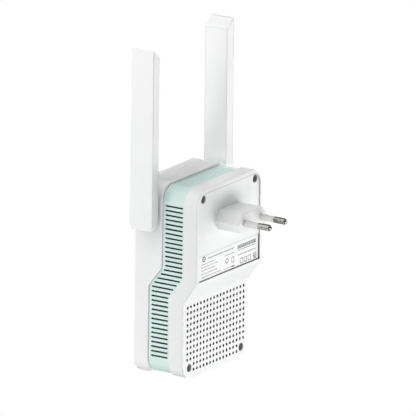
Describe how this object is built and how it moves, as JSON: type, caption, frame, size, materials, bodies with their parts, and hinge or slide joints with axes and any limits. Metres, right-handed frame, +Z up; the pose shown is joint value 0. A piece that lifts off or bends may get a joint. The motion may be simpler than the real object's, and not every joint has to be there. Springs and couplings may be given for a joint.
{
  "type": "wifi range extender",
  "caption": "Upright plug-in wifi range extender with a stepped rear, a vented middle band, a two-pin mains plug and blade antennas that swing on the sides.",
  "frame": {"origin": "middle of the mains plug's end face, between the two pins", "axes": "+Y towards the wall that the plug goes into, +Z up with the antennas raised, +X to the right seen from the room"},
  "size_m": [0.092, 0.0835, 0.2137],
  "materials": {
    "white_shell": "fine moulded satin",
    "mint_shell": "fine moulded satin",
    "white_nylon": "smooth",
    "label_paper": "printed matt film",
    "light_diffuser": "milky translucent",
    "black_plastic": "moulded",
    "circuit_board": "solder mask",
    "transformer_tape": "wrapped tape",
    "capacitor_sleeve": "shrink sleeve",
    "cable_jacket": "extruded",
    "nickel_plate": "bright nickel plate",
    "zinc_steel": "zinc plated",
    "spring_steel": "oiled",
    "copper_alloy": "bright",
    "bare_aluminium": "extruded"
  },
  "bodies": {
    "case": {"board_link_header": "black_plastic", "bridge_rectifier": "black_plastic", "bulk_capacitor_lower": "capacitor_sleeve", "bulk_capacitor_upper": "capacitor_sleeve", "button_switch": "black_plastic", "case_screw_lower_left": "zinc_steel", "case_screw_lower_right": "zinc_steel", "case_screw_upper_left": "zinc_steel", "case_screw_upper_right": "zinc_steel", "coax_lead_left": "cable_jacket", "coax_lead_right": "cable_jacket", "coax_plug_left": "nickel_plate", "coax_plug_right": "nickel_plate", "contact_strap_left": "copper_alloy", "contact_strap_right": "copper_alloy", "friction_washer_left": "white_nylon", "friction_washer_right": "white_nylon", "front_shell": "white_shell", "heat_sink": "bare_aluminium", "light_window": "light_diffuser", "line_fuse": "black_plastic", "line_transformer": "black_plastic", "main_board": "circuit_board", "main_board_screw_1": "zinc_steel", "main_board_screw_2": "zinc_steel", "main_board_screw_3": "zinc_steel", "main_board_screw_4": "zinc_steel", "middle_band": "mint_shell", "network_jack": "black_plastic", "pin_sleeve_left": "white_nylon", "pin_sleeve_right": "white_nylon", "plug_base": "white_shell", "plug_pin_left": "nickel_plate", "plug_pin_right": "nickel_plate", "power_board": "circuit_board", "power_board_screw_1": "zinc_steel", "power_board_screw_2": "zinc_steel", "radio_shield_front": "zinc_steel", "radio_shield_rear": "zinc_steel", "rating_label": "label_paper", "rear_shell": "white_shell", "status_led_1": "light_diffuser", "status_led_2": "light_diffuser", "status_led_3": "light_diffuser", "transformer": "transformer_tape"},
    "antenna_right": {"antenna_cable_right": "cable_jacket", "antenna_element_right": "circuit_board", "antenna_inner_cover_right": "white_shell", "antenna_outer_cover_right": "white_shell", "pivot_clip_right": "spring_steel"},
    "antenna_left": {"antenna_cable_left": "cable_jacket", "antenna_element_left": "circuit_board", "antenna_inner_cover_left": "white_shell", "antenna_outer_cover_left": "white_shell", "pivot_clip_left": "spring_steel"},
    "button": {"pair_button": "white_shell"}
  },
  "joints": [
    {"name": "antenna_right_hinge", "type": "hinge", "parent": "case", "child": "antenna_right", "pos_m": [0.0386, -0.0539, 0.0033], "axis": [1, 0, 0], "range_deg": [0, 180]},
    {"name": "antenna_left_hinge", "type": "hinge", "parent": "case", "child": "antenna_left", "pos_m": [-0.0386, -0.0539, 0.0033], "axis": [1, 0, 0], "range_deg": [0, 180]},
    {"name": "pair_button_press", "type": "slide", "parent": "case", "child": "button", "axis": [0, 1, 0], "range_m": [0, 0.0006], "stiffness_N_per_m": 500}
  ]
}
